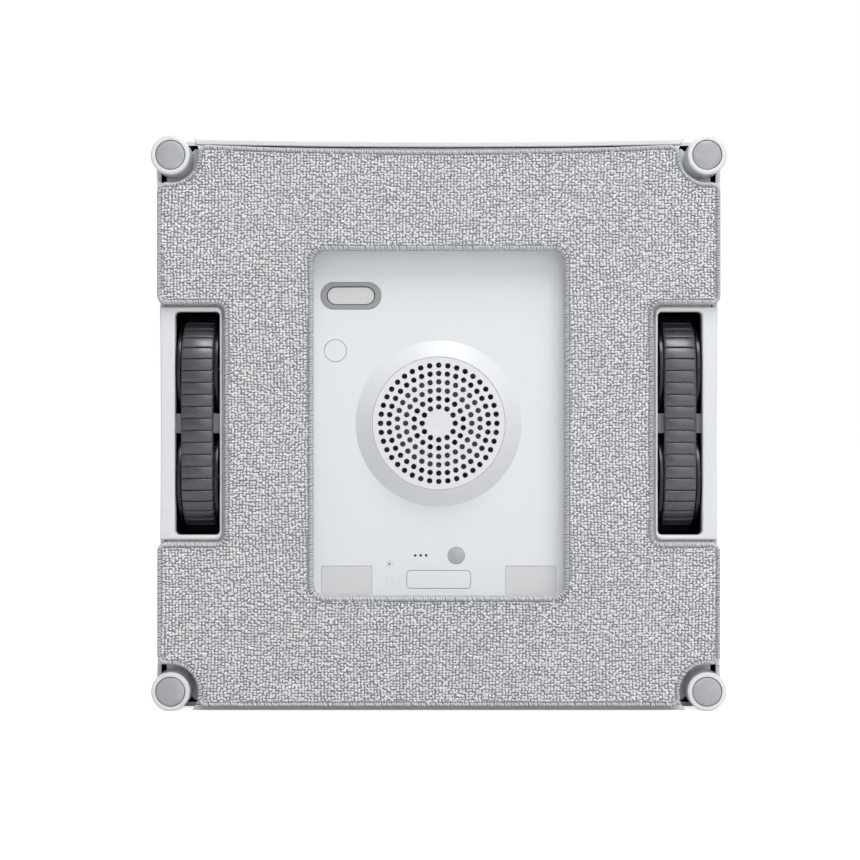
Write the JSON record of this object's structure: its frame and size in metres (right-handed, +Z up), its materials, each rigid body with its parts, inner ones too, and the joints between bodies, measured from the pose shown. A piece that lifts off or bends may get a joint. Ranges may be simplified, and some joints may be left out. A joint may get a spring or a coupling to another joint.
{
  "type": "window cleaning robot",
  "caption": "Square window cleaning robot that clings by suction, with microfibre pad, two belt tracks, corner rollers and edge sensors, and a centre air inlet.",
  "frame": {"origin": "middle of the bottom edge, half-way between the pad's face and the shell's back", "axes": "+Z up, +X to the right seen from the glass side, -Y out of the pad towards the glass"},
  "size_m": [0.25, 0.072, 0.25],
  "materials": {
    "shell_white": "smooth white ABS with a fine satin grain",
    "panel_white": "cool white satin plastic",
    "fine_grille": "white satin plastic, punched",
    "light_grey_plastic": "light grey plastic",
    "mid_grey_plastic": "mid grey plastic",
    "roller_white": "white acetal",
    "sensor_grey": "grey soft cap",
    "belt_rubber": "dark grey silicone rubber",
    "wheel_plastic": "dark grey nylon",
    "case_black": "black plastic",
    "cloth": "looped grey microfibre with an overlocked edge",
    "backing": "woven backing",
    "hook_tape": "hook tape",
    "steel": "plain steel",
    "brass": "brass",
    "motor_can": "painted motor can",
    "gasket_rubber": "black foam rubber",
    "circuit": "green circuit board",
    "cells": "shrink-wrapped cells",
    "tank_clear": "milky polypropylene",
    "glow_ring": "milky light guide"
  },
  "bodies": {
    "root": {"outer_shell": "shell_white", "chassis": "shell_white", "hook_strips": "hook_tape", "housing_screws": "steel", "suction_panel": "panel_white", "suction_cone": "shell_white", "inlet_grille": "fine_grille", "fan_gasket": "gasket_rubber", "fan_housing": "case_black", "fan_motor": "motor_can", "exhaust_grille": "light_grey_plastic", "battery_pack": "cells", "main_board": "circuit", "water_tank": "tank_clear", "spray_pump": "case_black", "spray_nozzles": "mid_grey_plastic", "power_inlet": "case_black", "tether_anchor": "light_grey_plastic", "light_ring": "glow_ring", "switch_bezel": "mid_grey_plastic", "service_hatch": "panel_white", "screw_cover": "panel_white", "port_plug": "sensor_grey", "corner_pads": "light_grey_plastic", "roller_posts": "light_grey_plastic", "belt_bridges": "mid_grey_plastic", "motor_plates": "steel", "idler_pins": "steel", "left_track_case": "case_black", "left_belt": "belt_rubber", "left_drive_motor": "motor_can", "right_track_case": "case_black", "right_belt": "belt_rubber", "right_drive_motor": "motor_can"},
    "cleaning_pad": {"pad_cloth": "cloth", "pad_backing": "backing"},
    "top_left_roller": {"top_left_roller": "roller_white"},
    "top_left_plunger": {"top_left_plunger": "sensor_grey"},
    "top_right_roller": {"top_right_roller": "roller_white"},
    "top_right_plunger": {"top_right_plunger": "sensor_grey"},
    "bottom_left_roller": {"bottom_left_roller": "roller_white"},
    "bottom_left_plunger": {"bottom_left_plunger": "sensor_grey"},
    "bottom_right_roller": {"bottom_right_roller": "roller_white"},
    "bottom_right_plunger": {"bottom_right_plunger": "sensor_grey"},
    "left_drive": {"left_drive_wheel": "wheel_plastic", "left_drive_axle": "steel", "left_output_gear": "brass"},
    "left_idler": {"left_idler_wheel": "wheel_plastic"},
    "left_pinion": {"left_pinion": "brass"},
    "right_drive": {"right_drive_wheel": "wheel_plastic", "right_drive_axle": "steel", "right_output_gear": "brass"},
    "right_idler": {"right_idler_wheel": "wheel_plastic"},
    "right_pinion": {"right_pinion": "brass"},
    "impeller": {"fan_impeller": "mid_grey_plastic", "fan_shaft": "steel"},
    "power_switch": {"power_switch": "light_grey_plastic"},
    "start_button": {"start_button": "light_grey_plastic"},
    "filler_plug": {"filler_plug": "mid_grey_plastic"}
  },
  "joints": [
    {"name": "pad_lift", "type": "slide", "parent": "root", "child": "cleaning_pad", "axis": [0, -1, 0], "range_m": [0, 0.03]},
    {"name": "top_left_roller_spin", "type": "hinge", "parent": "root", "child": "top_left_roller", "pos_m": [-0.1165, -0.0275, 0.2415], "axis": [0, 1, 0], "continuous": true},
    {"name": "top_left_plunger_press", "type": "slide", "parent": "root", "child": "top_left_plunger", "axis": [0, 1, 0], "range_m": [0, 0.002], "stiffness_N_per_m": 300, "springref_m": -0.002},
    {"name": "top_right_roller_spin", "type": "hinge", "parent": "root", "child": "top_right_roller", "pos_m": [0.1165, -0.0275, 0.2415], "axis": [0, 1, 0], "continuous": true},
    {"name": "top_right_plunger_press", "type": "slide", "parent": "root", "child": "top_right_plunger", "axis": [0, 1, 0], "range_m": [0, 0.002], "stiffness_N_per_m": 300, "springref_m": -0.002},
    {"name": "bottom_left_roller_spin", "type": "hinge", "parent": "root", "child": "bottom_left_roller", "pos_m": [-0.1165, -0.0275, 0.0085], "axis": [0, 1, 0], "continuous": true},
    {"name": "bottom_left_plunger_press", "type": "slide", "parent": "root", "child": "bottom_left_plunger", "axis": [0, 1, 0], "range_m": [0, 0.002], "stiffness_N_per_m": 300, "springref_m": -0.002},
    {"name": "bottom_right_roller_spin", "type": "hinge", "parent": "root", "child": "bottom_right_roller", "pos_m": [0.1165, -0.0275, 0.0085], "axis": [0, 1, 0], "continuous": true},
    {"name": "bottom_right_plunger_press", "type": "slide", "parent": "root", "child": "bottom_right_plunger", "axis": [0, 1, 0], "range_m": [0, 0.002], "stiffness_N_per_m": 300, "springref_m": -0.002},
    {"name": "left_drive_spin", "type": "hinge", "parent": "root", "child": "left_drive", "pos_m": [-0.105, -0.013, 0.101], "axis": [1, 0, 0], "continuous": true},
    {"name": "left_idler_spin", "type": "hinge", "parent": "root", "child": "left_idler", "pos_m": [-0.105, -0.013, 0.149], "axis": [1, 0, 0], "continuous": true},
    {"name": "left_pinion_spin", "type": "hinge", "parent": "root", "child": "left_pinion", "pos_m": [-0.0908, -0.00268, 0.11575], "axis": [1, 0, 0], "continuous": true},
    {"name": "right_drive_spin", "type": "hinge", "parent": "root", "child": "right_drive", "pos_m": [0.105, -0.013, 0.101], "axis": [1, 0, 0], "continuous": true},
    {"name": "right_idler_spin", "type": "hinge", "parent": "root", "child": "right_idler", "pos_m": [0.105, -0.013, 0.149], "axis": [1, 0, 0], "continuous": true},
    {"name": "right_pinion_spin", "type": "hinge", "parent": "root", "child": "right_pinion", "pos_m": [0.0908, -0.00268, 0.11575], "axis": [1, 0, 0], "continuous": true},
    {"name": "impeller_spin", "type": "hinge", "parent": "root", "child": "impeller", "pos_m": [0, -0.016, 0.125], "axis": [0, 1, 0], "continuous": true},
    {"name": "power_switch_press", "type": "slide", "parent": "root", "child": "power_switch", "axis": [0, 1, 0], "range_m": [0, 0.0012], "stiffness_N_per_m": 500, "springref_m": -0.0012},
    {"name": "start_button_press", "type": "slide", "parent": "root", "child": "start_button", "axis": [0, -1, 0], "range_m": [0, 0.0008], "stiffness_N_per_m": 600, "springref_m": -0.001},
    {"name": "filler_plug_lift", "type": "slide", "parent": "root", "child": "filler_plug", "axis": [0, 1, 0], "range_m": [0, 0.018]}
  ],
  "couplings": [
    {"joint": "left_idler_spin", "follows": "left_drive_spin", "ratio": 1},
    {"joint": "left_pinion_spin", "follows": "left_drive_spin", "ratio": -3},
    {"joint": "right_idler_spin", "follows": "right_drive_spin", "ratio": 1},
    {"joint": "right_pinion_spin", "follows": "right_drive_spin", "ratio": -3}
  ]
}
